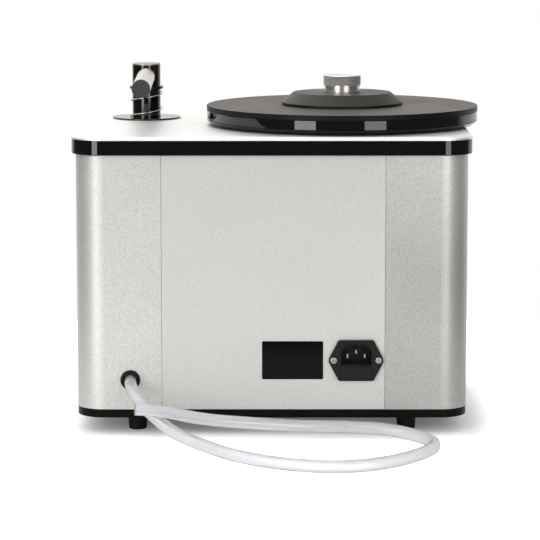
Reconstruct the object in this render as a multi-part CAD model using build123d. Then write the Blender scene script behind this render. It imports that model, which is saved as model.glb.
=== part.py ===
"""Record cleaning machine: vacuum arm, turntable, clamp and waste tank in an aluminium case.

Millimetres, +Z up. The front faces -Y and the rear, with inlet and drain, faces +Y.
The origin is on the floor, under the middle of the machine's bounding box.
"""
import os
from math import cos, pi, radians, sin, tan

from build123d import *

# Case: one bent sheet round the front, the sides and the rear corners, and a rear panel
case_w = 317.8
case_d = 227.4
case_h = 207.0
case_r = 22.7
sheet_t = 1.5
seam_left_x = -91.5
seam_right_x = 89.3
seam_gap = 0.25
panel_inset = 0.4
strip_w = 16.0
strip_t = 1.5
strip_margin = 6.0

# Base plate and feet
base_t = 7.0
base_inset = 0.2
base_edge = 0.8
foot_h = 13.0
foot_top_r = 8.2
foot_bottom_r = 7.2
foot_edge = 1.4
foot_x = 110.0
foot_inset_y = 22.0
foot_recess_r = 4.4
foot_recess_h = 6.0
foot_screw_r = 2.0
foot_screw_head_r = 3.6
foot_screw_head_h = 2.4
foot_screw_bite = 5.0

# Pan heads: their rounding and cross recess, as shares of the head's own radius and height
pan_round = 0.45
cross_length = 1.15
cross_width = 0.3
cross_depth = 0.5

# Corner posts that tie the base plate to the top band
post_r = 6.0
post_inset = 18.8
post_screw_r = 2.0
post_screw_head_r = 3.8
post_screw_head_h = 2.6
post_screw_depth = 12.0
counterbore_h = 3.2
screw_clear = 0.2

# Top band and deck plate
overhang = 3.3
band_h = 12.0
band_rim_w = 14.0
band_inner_r = 40.0
band_edge = 0.8
deck_t = 3.3
deck_r = 26.0
deck_edge = 2.4

# Turntable
spindle_offset_x = 59.0
platter_r = 113.8
platter_h = 8.1
platter_gap = 4.3
platter_edge = 0.5
mat_h = 4.1
mat_edge = 0.5
mat_hole_r = 4.0
hub_r = 35.0
hub_h = 3.0
hub_boss_r = 14.0
hub_boss_h = 21.0
hub_hole_gap = 2.0
spindle_r = 3.6
spindle_bite = 8.0
spindle_tip = 0.8
drive_shaft_r = 4.0
drive_shaft_flat = 0.8
fit = 0.05

# Gear motor under the deck
gearbox_w = 60.0
gearbox_h = 23.0
gearbox_r = 9.0
gearbox_drop = 23.3
gearbox_post_r = 4.0
gearbox_post_x = 23.0
bearing_r = 7.0
bearing_h = 8.0
bearing_flange_r = 9.5
bearing_flange_h = 1.2
shaft_bite = 17.0
shaft_in_hub = 15.0
drive_motor_r = 21.0
drive_motor_h = 44.0
drive_motor_edge = 3.0
motor_boss_r = 6.0
motor_boss_h = 4.0

# Record clamp
clamp_r = 50.9
clamp_top_r = 41.1
clamp_rim_h = 1.0
clamp_h = 9.1
clamp_wall = 3.0
clamp_land_w = 9.0
clamp_boss_r = 11.0
clamp_hole_gap = 0.6
gasket_h = 1.4
gasket_inset = 0.5
knob_r = 15.9
knob_h = 8.3
knob_edge = 0.7
knob_waist_r = 15.0
knob_waist_h = 5.5
knob_groove_r = 14.5
knob_groove_h = 0.4
knob_roof = 3.5
knob_tip_gap = 1.0

# Vacuum arm: a pillar that turns and slides in a guide, and the tube that it carries
pillar_side_gap = 50.6
pillar_front_gap = 54.4
pillar_r = 12.1
pillar_wall = 2.0
pillar_top = 47.5
pillar_below = 36.0
pillar_cap_h = 1.3
pillar_cap_plug = 0.7
pillar_cap_edge = 0.4
arm_park_deg = 1.0
arm_len = 153.0
arm_r = 7.5
arm_wall = 1.2
arm_axis_h = 36.4
arm_root = 7.0
arm_cap_h = 3.0
arm_cap_plug = 8.0
arm_cap_edge = 0.6
slot_w = 3.0
slot_start = 46.0
slot_margin = 6.0
lip_t = 1.2
lip_from_deg = 13.0
lip_to_deg = 40.0
lip_overrun = 2.0
arm_travel = 9.5

# Spring, washer and retaining ring on the pillar
flange_r = 29.5
flange_h = 1.5
flange_gap = 0.5
flange_edge = 0.4
flange_split_w = 0.5
ring_h = 1.0
ring_r = 14.3
ring_bite = 0.9
washer_h = 1.0
washer_r = 14.5
washer_gap = 0.3
washer_z = 25.6
spring_wire_r = 0.55
spring_r = 13.6
spring_turns = 1.75

# Guide under the deck, with its seal and its outlet to the tank
guide_r = 16.5
guide_flange_r = 24.0
guide_flange_h = 4.0
guide_floor_gap = 6.0
guide_floor_t = 3.0
guide_spigot_h = 20.0
spigot_r = 8.0
spigot_bore_r = 6.0
seal_r = 14.6
seal_h = 3.0
seal_drop = 5.0
guide_screw_r = 1.5
guide_screw_pcd_r = 20.4
guide_screw_head_r = 2.8
guide_screw_head_h = 2.0
guide_screw_bite = 2.4
guide_screw_count = 3

# Waste tank, right of the middle
tank_w = 130.0
tank_d = 160.0
tank_h = 124.0
tank_wall = 2.5
tank_r = 12.0
tank_edge = 5.0
tank_side_gap = 15.4
tank_front_gap = 24.2
tank_lift = 4.0
tank_spigot_h = 12.0
vacuum_spigot_r = 9.0
vacuum_spigot_bore_r = 7.0
vacuum_spigot_x = 23.0
coupling_wall = 2.5
coupling_overlap = 9.0
lid_r = 22.0
lid_h = 9.0
lid_edge = 1.5
lid_grips = 12
lid_grip_r = 1.6
lid_neck_r = 17.0
lid_x = 62.0
lid_y = 123.0
strap_w = 16.0
strap_t = 1.2
strap_foot = 12.0
strap_y = 66.0
strap_screw_r = 2.0
strap_screw_head_r = 3.6
strap_screw_head_h = 2.2
strap_screw_bite = 5.0

# Vacuum motor, left of the middle, with its exhaust duct
fan_duct_gap = 2.15
turbine_y = -45.0
fan_r = 56.0
fan_h = 42.0
fan_edge = 5.0
fan_step_r = 46.0
fan_step_h = 8.0
fan_bead_r = 58.0
fan_bead_h = 3.0
intake_r = 13.0
intake_bore_r = 11.0
intake_h = 16.0
fan_motor_r = 42.0
fan_motor_h = 78.0
fan_motor_edge = 4.0
fan_motor_bore_r = 20.0
motor_window_w = 14.0
motor_window_h = 34.0
motor_window_depth = 6.0
motor_window_count = 6
mount_ring_h = 6.0
mount_ring_out_r = 47.0
mount_ring_in_r = 34.0
duct_w = 17.0
duct_d = 34.0
duct_wall = 1.6
duct_neck_h = 26.0
vent_slot_w = 4.0
vent_slot_l = 44.0
vent_slot_pitch = 9.0
vent_slot_count = 6
hose_wall = 2.0
vacuum_hose_rise = 40.0
vacuum_hose_bend_r = 24.0
hose_overlap = 10.0

# Drain: spigot on the tank, grommet in the case and the free hose
drain_x = 114.8
drain_z = 44.3
drain_hose_r = 5.0
drain_hose_bore_r = 3.5
drain_spigot_r = 3.5
drain_spigot_bore_r = 2.4
drain_collar_r = 8.0
drain_collar_h = 3.0
hose_start_in = 8.0
grommet_r = 8.0
grommet_neck_r = 6.4
grommet_lip_h = 2.4
grommet_edge = 1.1
grommet_fit = 0.05

# Mains inlet with its fuse drawer, in the rear panel
inlet_x = -68.15
inlet_z = 60.5
inlet_tip_x = 17.65
inlet_tip_r = 4.5
inlet_corner_x = 12.9
inlet_corner_z = 14.7
inlet_corner_r = 2.0
inlet_flange_h = 3.0
inlet_body_w = 27.6
inlet_body_h = 31.6
inlet_body_d = 25.0
inlet_body_gap = 0.3
socket_w = 24.6
socket_h = 16.8
socket_z = 5.0
socket_chamfer = 5.0
socket_depth = 16.0
inlet_screw_x = 18.2
inlet_screw_r = 1.5
inlet_screw_head_r = 2.8
inlet_screw_head_h = 1.7
inlet_screw_len = 9.0
pin_w = 2.0
pin_h = 4.0
pin_len = 13.5
pin_tip = 0.5
pin_x = 7.0
pin_z = 3.4
earth_pin_z = 7.0
pin_tail = 8.0
drawer_w = 25.0
drawer_h = 10.8
drawer_z = -9.5
drawer_face_t = 2.0
drawer_body_w = 23.0
drawer_body_h = 8.4
drawer_body_d = 20.0
drawer_gap = 0.3
drawer_wall = 1.4
drawer_grip_w = 12.0
drawer_grip_h = 1.4
drawer_travel = 24.0
fuse_r = 2.6
fuse_len = 20.0

# Rating plate, bare
plate_w = 49.5
plate_h = 31.2
plate_t = 0.4
plate_x = -16.7
plate_z = 60.4
plate_r = 0.8

# Rocker switches in the front
switch_x = 105.0
switch_pitch = 38.0
switch_z = 185.0
switch_w = 15.0
switch_h = 21.0
switch_bezel_h = 1.2
switch_bezel_edge = 0.5
switch_body_w = 13.0
switch_body_h = 19.0
switch_body_d = 16.0
switch_wall = 1.4
switch_depth = 9.0
rocker_w = 9.6
rocker_h = 14.4
rocker_pivot_in = 2.6
rocker_crown = 4.7
rocker_valley = 3.4
rocker_skirt = 3.0
rocker_pin_r = 1.0
rocker_pin_len = 11.2
rocker_tilt_deg = 9.0

# Power board in the rear left corner
board_w = 108.0
board_d = 50.0
board_t = 1.6
board_lift = 10.0
board_wall_gap = 8.0
board_y = 56.0
standoff_r = 3.0
standoff_inset = 5.0
transformer_w = 44.0
transformer_d = 36.0
core_t = 16.0
core_h = 36.0
coil_w = 26.0
coil_h = 24.0
coil_edge = 3.0
capacitor_r = 6.0
capacitor_h = 21.0
capacitor_pitch = 15.0
relay_w = 12.0
relay_d = 19.0
relay_h = 15.0
relay_pitch = 16.0

# How near an edge or face must lie to the height it is looked for at
find_tol = 0.01

# Heights and places that follow from the sizes above
base_top = foot_h + base_t
case_top = base_top + case_h
band_top = case_top + band_h
deck_top = band_top + deck_t
band_w = case_w + 2 * overhang
band_d = case_d + 2 * overhang
band_r = case_r + overhang
rear_y = case_d / 2
front_y = -case_d / 2
inner_x = case_w / 2 - sheet_t
panel_y = rear_y - panel_inset
foot_y = case_d / 2 - foot_inset_y
post_x = case_w / 2 - post_inset
post_y = case_d / 2 - post_inset
pillar_x = case_w / 2 - pillar_side_gap
pillar_y = front_y + pillar_front_gap
spindle_x = -spindle_offset_x
platter_z = deck_top + platter_gap
mat_z = platter_z + platter_h
mat_top = mat_z + mat_h
hub_z = platter_z - hub_h
boss_z = hub_z - hub_boss_h
clamp_z = mat_top + gasket_h
knob_z = clamp_z + clamp_h
knob_top = knob_z + knob_waist_h + knob_groove_h + knob_h
spindle_top = knob_top - knob_roof - knob_tip_gap
gearbox_top = deck_top - gearbox_drop
gearbox_z = gearbox_top - gearbox_h
pillar_z = deck_top - pillar_below
arm_z = deck_top + arm_axis_h
guide_bore_r = pillar_r + fit
guide_floor_top = pillar_z - arm_travel - guide_floor_gap
guide_spigot_z = guide_floor_top - guide_floor_t - guide_spigot_h
tank_x = inner_x - tank_side_gap - tank_w / 2
tank_y = front_y + sheet_t + tank_front_gap + tank_d / 2
tank_left_x = tank_x - tank_w / 2
tank_front_y = tank_y - tank_d / 2
tank_rear_y = tank_y + tank_d / 2
tank_z = base_top + tank_lift
tank_top = tank_z + tank_h
duct_x = -inner_x + duct_w / 2 + seam_gap
turbine_x = duct_x + duct_w / 2 + fan_duct_gap + fan_bead_r
fan_motor_z = base_top + mount_ring_h
fan_z = fan_motor_z + fan_motor_h
intake_top = fan_z + fan_h + intake_h
hose_start_y = rear_y - hose_start_in
inlet_face_y = panel_y + inlet_flange_h
# The platter reaches past the case on one side, so the case stands off the origin by half of that
case_x = (spindle_offset_x + platter_r - band_w / 2) / 2


def rod(radius, height, x=0.0, y=0.0, z=0.0):
    """Upright cylinder that stands on z."""
    return Pos(x, y, z) * Cylinder(radius, height, align=(Align.CENTER, Align.CENTER, Align.MIN))


def pipe(outer_r, inner_r, height, x=0.0, y=0.0, z=0.0):
    """Upright tube that stands on z."""
    return rod(outer_r, height, x, y, z) - rod(inner_r, height, x, y, z)


def rod_y(radius, length, x=0.0, y=0.0, z=0.0):
    """Cylinder along +Y that starts at y."""
    return Pos(x, y, z) * Rot(-90, 0, 0) * Cylinder(
        radius, length, align=(Align.CENTER, Align.CENTER, Align.MIN))


def rod_x(radius, length, x=0.0, y=0.0, z=0.0):
    """Cylinder along X, centred on x."""
    return Pos(x, y, z) * Rot(0, 90, 0) * Cylinder(radius, length)


def block(width, depth, height, x=0.0, y=0.0, z=0.0):
    """Box centred on x and y that stands on z."""
    return Pos(x, y, z) * Box(width, depth, height, align=(Align.CENTER, Align.CENTER, Align.MIN))


def rounded_block(width, depth, height, radius, x=0.0, y=0.0, z=0.0):
    """Block with round upright edges."""
    return Pos(x, y, z) * extrude(RectangleRounded(width, depth, radius), height)


def turned(points):
    """Solid of revolution about Z from (radius, height) points."""
    return revolve(Plane.XZ * make_face(Polyline(*points, close=True)), Axis.Z)


def corners(x, y):
    """The four corners of a rectangle about the origin."""
    return [(sx * x, sy * y) for sx in (-1, 1) for sy in (-1, 1)]


def around(radius, count, start_deg=0.0):
    """Points spaced evenly on a circle."""
    step = 360 / count
    angles = [radians(start_deg + step * i) for i in range(count)]
    return [(radius * cos(a), radius * sin(a)) for a in angles]


def edges_at(shape, at, axis=Axis.Z):
    """Edges that lie flat at a height, or at a place along another axis."""
    return shape.edges().filter_by_position(axis, at - find_tol, at + find_tol)


def outer_edges_at(shape, z):
    """Edges of the largest wire at height z."""
    face = shape.faces().filter_by_position(Axis.Z, z - find_tol, z + find_tol).sort_by(SortBy.AREA)[-1]
    return face.outer_wire().edges()


def combined(pieces):
    """Separate like pieces kept in one node."""
    return Compound([solid for piece in pieces for solid in piece.solids()])


def placed(shape):
    """The piece moved from the case's middle to the origin, solid by solid."""
    solids = [Pos(case_x, 0, 0) * solid for solid in shape.solids()]
    return solids[0] if len(solids) == 1 else Compound(solids)


def pan_screw(head_r, head_h, shank_r, shank_len):
    """Pan-head screw pointing up, with its head's seat at z = 0 and a cross recess."""
    head = rod(head_r, head_h, z=-head_h)
    head = fillet(edges_at(head, -head_h), min(head_h, head_r) * pan_round)
    slot_l, slot_w, depth = cross_length * head_r, cross_width * head_r, cross_depth * head_h
    head -= block(slot_l, slot_w, depth, z=-head_h) + block(slot_w, slot_l, depth, z=-head_h)
    return head + rod(shank_r, shank_len)


# Base, feet and case

def base_plate():
    plate = rounded_block(case_w - 2 * base_inset, case_d - 2 * base_inset, base_t,
                          case_r - base_inset, z=foot_h)
    plate = fillet(outer_edges_at(plate, foot_h), base_edge)
    for x, y in corners(foot_x, foot_y):
        plate -= rod(foot_screw_r, foot_screw_bite, x, y, foot_h)
    for x, y in corners(post_x, post_y):
        plate -= rod(post_screw_head_r + screw_clear, counterbore_h, x, y, foot_h)
        plate -= rod(post_screw_r, base_t, x, y, foot_h)
    for x in strap_screw_places():
        plate -= rod(strap_screw_r, strap_screw_bite, x, tank_front_y + strap_y,
                     base_top - strap_screw_bite)
    first = turbine_y - vent_slot_pitch * (vent_slot_count - 1) / 2
    for i in range(vent_slot_count):
        slot = extrude(SlotOverall(vent_slot_l, vent_slot_w), base_t)
        plate -= Pos(turbine_x, first + vent_slot_pitch * i, foot_h) * slot
    plate -= block(duct_w - 2 * duct_wall, duct_d - 2 * duct_wall, base_t, duct_x, turbine_y,
                   foot_h)
    return plate


def foot():
    profile = [(foot_screw_r, foot_recess_h), (foot_recess_r, foot_recess_h), (foot_recess_r, 0),
               (foot_bottom_r, 0), (foot_top_r, foot_h), (foot_screw_r, foot_h)]
    solid = turned(profile)
    rim = edges_at(solid, 0).sort_by(SortBy.LENGTH)[-1]
    return fillet(rim, foot_edge)


def foot_screw():
    screw = pan_screw(foot_screw_head_r, foot_screw_head_h, foot_screw_r,
                      foot_h - foot_recess_h + foot_screw_bite)
    return Pos(0, 0, foot_recess_h) * screw


def feet():
    return combined(Pos(x, y, 0) * foot() for x, y in corners(foot_x, foot_y))


def foot_screws():
    return combined(Pos(x, y, 0) * foot_screw() for x, y in corners(foot_x, foot_y))


def wrap_case():
    outline = RectangleRounded(case_w, case_d, case_r)
    outline -= RectangleRounded(case_w - 2 * sheet_t, case_d - 2 * sheet_t, case_r - sheet_t)
    shell = Pos(0, 0, base_top) * extrude(outline, case_h)
    gap_x = (seam_left_x + seam_right_x) / 2
    shell -= block(seam_right_x - seam_left_x, 4 * sheet_t, case_h, gap_x, rear_y, base_top)
    shell -= rod_y(grommet_neck_r, 4 * sheet_t, drain_x, rear_y - 2 * sheet_t, drain_z)
    for x in (switch_x, switch_x - switch_pitch):
        shell -= block(switch_body_w, 4 * sheet_t, switch_body_h, x, front_y,
                       switch_z - switch_body_h / 2)
    return shell


def rear_panel():
    width = seam_right_x - seam_left_x - 2 * seam_gap
    middle = (seam_left_x + seam_right_x) / 2
    panel = block(width, sheet_t, case_h, middle, panel_y - sheet_t / 2, base_top)
    panel -= block(inlet_body_w + 2 * inlet_body_gap, 4 * sheet_t, inlet_body_h + 2 * inlet_body_gap,
                   inlet_x, panel_y, inlet_z - inlet_body_h / 2 - inlet_body_gap)
    for side in (-1, 1):
        panel -= rod_y(inlet_screw_r, 4 * sheet_t, inlet_x + side * inlet_screw_x,
                       panel_y - 2 * sheet_t, inlet_z)
    return panel


def seam_strips():
    height = case_h - 2 * strip_margin
    back_y = panel_y - sheet_t - strip_t / 2
    strips = []
    for x, side in ((seam_left_x, -1), (seam_right_x, 1)):
        strip = block(strip_w, strip_t, height, x, back_y, base_top + strip_margin)
        step_y = panel_y - sheet_t + panel_inset / 2
        strip += block(strip_w / 2, panel_inset, height, x + side * strip_w / 4, step_y,
                       base_top + strip_margin)
        strip -= rod_y(inlet_screw_r + screw_clear, 4 * sheet_t, inlet_x - inlet_screw_x,
                       panel_y - 4 * sheet_t, inlet_z)
        strips.append(strip)
    return combined(strips)


def corner_posts():
    posts = []
    for x, y in corners(post_x, post_y):
        post = rod(post_r, case_h, x, y, base_top)
        post -= rod(post_screw_r, post_screw_depth, x, y, base_top)
        post -= rod(post_screw_r, post_screw_depth, x, y, case_top - post_screw_depth)
        posts.append(post)
    return combined(posts)


def base_screws():
    seat = foot_h + counterbore_h
    length = base_top - seat + post_screw_depth
    screw = pan_screw(post_screw_head_r, post_screw_head_h, post_screw_r, length)
    return combined(Pos(x, y, seat) * screw for x, y in corners(post_x, post_y))


def countersunk(height):
    """Countersunk head with its flat top at z = 0 and its shank below."""
    cone_h = post_screw_head_r - post_screw_r
    shank = rod(post_screw_r, height - cone_h, z=-height)
    head = Pos(0, 0, -cone_h / 2) * Cone(post_screw_r, post_screw_head_r, cone_h)
    return shank + head


def band_screws():
    screw = countersunk(band_h + post_screw_depth)
    return combined(Pos(x, y, band_top) * screw for x, y in corners(post_x, post_y))


def top_band():
    outline = RectangleRounded(band_w, band_d, band_r)
    outline -= RectangleRounded(band_w - 2 * band_rim_w, band_d - 2 * band_rim_w, band_inner_r)
    band = Pos(0, 0, case_top) * extrude(outline, band_h)
    band = fillet(outer_edges_at(band, case_top), band_edge)
    for x, y in corners(post_x, post_y):
        band -= Pos(x, y, band_top) * countersunk(band_h)
    return band


def deck_plate():
    deck = rounded_block(band_w, band_d, deck_t, deck_r, z=band_top)
    deck = fillet(outer_edges_at(deck, deck_top), deck_edge)
    deck -= rod(hub_boss_r + hub_hole_gap, deck_t, spindle_x, 0, band_top)
    deck -= rod(pillar_r + flange_gap, deck_t, pillar_x, pillar_y, band_top)
    for x, y in around(guide_screw_pcd_r, guide_screw_count, 90):
        deck -= rod(guide_screw_r, guide_screw_bite, pillar_x + x, pillar_y + y, band_top)
    return deck


# Turntable

def platter():
    disc = rod(platter_r, platter_h, spindle_x, 0, platter_z)
    disc = chamfer(edges_at(disc, platter_z) + edges_at(disc, mat_z), platter_edge)
    disc -= rod(spindle_r, platter_h, spindle_x, 0, platter_z)
    return disc


def platter_mat():
    mat = rod(platter_r, mat_h, spindle_x, 0, mat_z)
    mat = fillet(edges_at(mat, mat_top), mat_edge)
    return mat - rod(mat_hole_r, mat_h, spindle_x, 0, mat_z)


def drive_shaft_solid(length):
    """Shaft with a flat down one side."""
    shaft = rod(drive_shaft_r, length)
    flat = block(2 * drive_shaft_r, drive_shaft_r, shaft_in_hub, 0,
                 1.5 * drive_shaft_r - drive_shaft_flat, length - shaft_in_hub)
    return shaft - flat


def drive_shaft_len():
    return boss_z + shaft_in_hub - (gearbox_top - shaft_bite)


def drive_shaft():
    return Pos(spindle_x, 0, gearbox_top - shaft_bite) * drive_shaft_solid(drive_shaft_len())


def platter_hub():
    hub = rod(hub_r, hub_h, z=hub_z) + rod(hub_boss_r, hub_boss_h, z=boss_z)
    hub -= Pos(0, 0, gearbox_top - shaft_bite) * drive_shaft_solid(drive_shaft_len())
    hub -= rod(spindle_r, spindle_bite, z=platter_z - spindle_bite)
    return Pos(spindle_x, 0, 0) * hub


def spindle():
    foot_z = platter_z - spindle_bite
    pin = rod(spindle_r, spindle_top - foot_z, spindle_x, 0, foot_z)
    return chamfer(edges_at(pin, spindle_top), spindle_tip)


# Gear motor

def drive_gearbox():
    box = rounded_block(gearbox_w, gearbox_w, gearbox_h, gearbox_r, spindle_x, 0, gearbox_z)
    box = fillet(outer_edges_at(box, gearbox_z), drive_motor_edge / 2)
    box -= rod(bearing_r, bearing_h, spindle_x, 0, gearbox_top - bearing_h)
    box -= rod(drive_shaft_r + washer_gap, shaft_bite, spindle_x, 0, gearbox_top - shaft_bite)
    return box


def shaft_bearing():
    bush = rod(bearing_r, bearing_h, z=gearbox_top - bearing_h)
    bush += rod(bearing_flange_r, bearing_flange_h, z=gearbox_top)
    bush -= rod(drive_shaft_r + fit, bearing_h + bearing_flange_h, z=gearbox_top - bearing_h)
    return Pos(spindle_x, 0, 0) * bush


def gearbox_posts():
    height = band_top - gearbox_top
    places = corners(gearbox_post_x, gearbox_post_x)
    return combined(rod(gearbox_post_r, height, spindle_x + x, y, gearbox_top) for x, y in places)


def drive_motor():
    bottom = gearbox_z - drive_motor_h
    can = rod(drive_motor_r, drive_motor_h, spindle_x, 0, bottom)
    can = fillet(edges_at(can, bottom), drive_motor_edge)
    return can + rod(motor_boss_r, motor_boss_h, spindle_x, 0, bottom - motor_boss_h)


# Record clamp

def clamp_disc():
    land_r = clamp_r - clamp_land_w
    roof = clamp_h - clamp_wall
    profile = [(spindle_r + clamp_hole_gap, 0), (clamp_boss_r, 0), (clamp_boss_r, roof),
               (clamp_top_r - clamp_land_w, roof), (land_r, clamp_rim_h), (land_r, 0),
               (clamp_r, 0), (clamp_r, clamp_rim_h), (clamp_top_r, clamp_h),
               (spindle_r + clamp_hole_gap, clamp_h)]
    return Pos(spindle_x, 0, clamp_z) * turned(profile)


def clamp_gasket():
    outer = clamp_r - gasket_inset
    inner = clamp_r - clamp_land_w + gasket_inset
    return pipe(outer, inner, gasket_h, spindle_x, 0, mat_top)


def clamp_knob():
    groove_z = knob_waist_h + knob_groove_h
    top = groove_z + knob_h
    profile = [(0, 0), (knob_waist_r, 0), (knob_waist_r, knob_waist_h),
               (knob_groove_r, knob_waist_h), (knob_groove_r, groove_z),
               (knob_r - knob_edge, groove_z), (knob_r, groove_z + knob_edge),
               (knob_r, top - knob_edge), (knob_r - knob_edge, top), (0, top)]
    knob = turned(profile) - rod(spindle_r + fit, top - knob_roof)
    return Pos(spindle_x, 0, knob_z) * knob


# Vacuum arm, drawn along +Y from the pillar's axis and turned to its parked angle

def on_pillar(shape):
    return Pos(pillar_x, pillar_y, 0) * Rot(0, 0, arm_park_deg) * shape


def arm_pillar():
    height = pillar_top + pillar_below - pillar_cap_h
    tube = pipe(pillar_r, pillar_r - pillar_wall, height, z=pillar_z)
    tube -= rod_y(arm_r, 2 * pillar_r, 0, 0, arm_z)
    groove = pipe(pillar_r, pillar_r - ring_bite, ring_h, z=deck_top + washer_z + washer_h)
    return on_pillar(tube - groove)


def pillar_cap():
    top = deck_top + pillar_top
    disc = rod(pillar_r, pillar_cap_h, z=top - pillar_cap_h)
    disc = chamfer(edges_at(disc, top), pillar_cap_edge)
    plug = rod(pillar_r - pillar_wall, pillar_cap_plug, z=top - pillar_cap_h - pillar_cap_plug)
    return on_pillar(disc + plug)


def arm_tube():
    length = arm_len - arm_cap_h - arm_root
    tube = rod_y(arm_r, length, 0, arm_root, arm_z) - rod_y(arm_r - arm_wall, length, 0, arm_root, arm_z)
    slot_len = arm_len - arm_cap_h - slot_margin - slot_start
    slot = extrude(SlotOverall(slot_len, slot_w), arm_r)
    slot = Pos(0, slot_start + slot_len / 2, arm_z - arm_r - arm_wall) * Rot(0, 0, 90) * slot
    return on_pillar(tube - slot)


def arm_end_cap():
    disc = rod_y(arm_r, arm_cap_h, 0, arm_len - arm_cap_h, arm_z)
    disc = fillet(edges_at(disc, arm_len, Axis.Y), arm_cap_edge)
    plug = rod_y(arm_r - arm_wall, arm_cap_plug, 0, arm_len - arm_cap_h - arm_cap_plug, arm_z)
    return on_pillar(disc + plug)


def lip_strips():
    start = slot_start - lip_overrun
    length = arm_len - arm_cap_h - slot_margin + lip_overrun - start
    outer = arm_r + lip_t
    strips = []
    for side in (-1, 1):
        first = radians(-90 + side * lip_from_deg)
        middle = radians(-90 + side * (lip_from_deg + lip_to_deg) / 2)
        last = radians(-90 + side * lip_to_deg)
        spots = [[(r * cos(a), r * sin(a)) for a in (first, middle, last)] for r in (arm_r, outer)]
        inside = ThreePointArc(*spots[0])
        outside = ThreePointArc(*spots[1])
        ends = [Line(spots[0][0], spots[1][0]), Line(spots[0][2], spots[1][2])]
        section = make_face([inside, outside] + ends)
        strip = extrude(Plane.XZ.offset(-start) * section, -length)
        strips.append(Pos(0, 0, arm_z) * strip)
    return on_pillar(combined(strips))


def retaining_ring():
    ring_z = deck_top + washer_z + washer_h
    return on_pillar(pipe(ring_r, pillar_r - ring_bite, ring_h, z=ring_z))


def thrust_washer():
    return pipe(washer_r, pillar_r + washer_gap, washer_h, pillar_x, pillar_y, deck_top + washer_z)


def lift_spring():
    low = deck_top + flange_h + spring_wire_r
    rise = deck_top + washer_z - spring_wire_r - low
    coil = Helix(rise / spring_turns, rise, spring_r)
    section = Plane(coil @ 0, z_dir=coil % 0) * Circle(spring_wire_r)
    return Pos(pillar_x, pillar_y, low) * sweep(section, path=coil, is_frenet=True)


def pillar_flange():
    ring = pipe(flange_r, pillar_r + flange_gap, flange_h, z=deck_top)
    ring = chamfer(outer_edges_at(ring, deck_top + flange_h), flange_edge)
    halves = ring - block(2 * flange_r, flange_split_w, flange_h, z=deck_top)
    return Pos(pillar_x, pillar_y, 0) * halves


def pillar_guide():
    floor_z = guide_floor_top - guide_floor_t
    seal_z = band_top - seal_drop
    profile = [(guide_bore_r, band_top), (guide_flange_r, band_top),
               (guide_flange_r, band_top - guide_flange_h), (guide_r, band_top - guide_flange_h),
               (guide_r, floor_z), (spigot_r, floor_z), (spigot_r, guide_spigot_z),
               (spigot_bore_r, guide_spigot_z), (spigot_bore_r, guide_floor_top),
               (guide_bore_r, guide_floor_top), (guide_bore_r, seal_z - seal_h),
               (seal_r, seal_z - seal_h), (seal_r, seal_z), (guide_bore_r, seal_z)]
    guide = turned(profile)
    for x, y in around(guide_screw_pcd_r, guide_screw_count, 90):
        guide -= rod(guide_screw_r, guide_flange_h, x, y, band_top - guide_flange_h)
    return Pos(pillar_x, pillar_y, 0) * guide


def guide_seal():
    seal_z = band_top - seal_drop - seal_h
    return pipe(seal_r, guide_bore_r, seal_h, pillar_x, pillar_y, seal_z)


def guide_screws():
    seat = band_top - guide_flange_h
    screw = pan_screw(guide_screw_head_r, guide_screw_head_h, guide_screw_r,
                      guide_flange_h + guide_screw_bite)
    places = around(guide_screw_pcd_r, guide_screw_count, 90)
    return combined(Pos(pillar_x + x, pillar_y + y, seat) * screw for x, y in places)


# Waste tank and hoses

def strap_screw_places():
    reach = tank_w / 2 + strap_t + strap_foot / 2
    return (tank_x - reach, tank_x + reach)


def waste_tank():
    tank = rounded_block(tank_w, tank_d, tank_h, tank_r, tank_x, tank_y, tank_z)
    tank = fillet(outer_edges_at(tank, tank_z) + outer_edges_at(tank, tank_top), tank_edge)
    hollow = rounded_block(tank_w - 2 * tank_wall, tank_d - 2 * tank_wall, tank_h - 2 * tank_wall,
                           tank_r - tank_wall, tank_x, tank_y, tank_z + tank_wall)
    hollow = fillet(outer_edges_at(hollow, tank_z + tank_wall)
                    + outer_edges_at(hollow, tank_top - tank_wall), tank_edge - tank_wall)
    tank += rod(spigot_r, tank_spigot_h, pillar_x, pillar_y, tank_top)
    tank += rod(vacuum_spigot_r, tank_spigot_h, vacuum_x(), turbine_y, tank_top)
    tank += rod(lid_neck_r, lid_h / 2, lid_place_x(), lid_place_y(), tank_top)
    tank -= hollow
    through = tank_wall + tank_spigot_h
    tank -= rod(spigot_bore_r, through, pillar_x, pillar_y, tank_top - tank_wall)
    tank -= rod(vacuum_spigot_bore_r, through, vacuum_x(), turbine_y, tank_top - tank_wall)
    tank -= rod(lid_neck_r - tank_wall, through, lid_place_x(), lid_place_y(), tank_top - tank_wall)
    tank -= rod_y(drain_spigot_r, 4 * tank_wall, drain_x, tank_rear_y - 2 * tank_wall, drain_z)
    return tank


def vacuum_x():
    return tank_left_x + vacuum_spigot_x


def lid_place_x():
    return tank_left_x + lid_x


def lid_place_y():
    return tank_front_y + lid_y


def tank_lid():
    lid = rod(lid_r, lid_h, z=tank_top)
    lid = fillet(edges_at(lid, tank_top + lid_h), lid_edge)
    lid -= rod(lid_neck_r, lid_h / 2, z=tank_top)
    for x, y in around(lid_r, lid_grips):
        lid -= rod(lid_grip_r, lid_h, x, y, tank_top)
    return Pos(lid_place_x(), lid_place_y(), 0) * lid


def tank_strap():
    reach = tank_w / 2
    height = tank_top - base_top
    hoop = block(tank_w + 2 * strap_t, strap_w, height + strap_t, z=base_top)
    hoop -= block(tank_w, strap_w, height, z=base_top)
    for side in (-1, 1):
        x = side * (reach + strap_t + strap_foot / 2)
        hoop += block(strap_foot, strap_w, strap_t, x, 0, base_top)
        hoop -= rod(strap_screw_r, strap_t, x, 0, base_top)
    return Pos(tank_x, tank_front_y + strap_y, 0) * hoop


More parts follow.
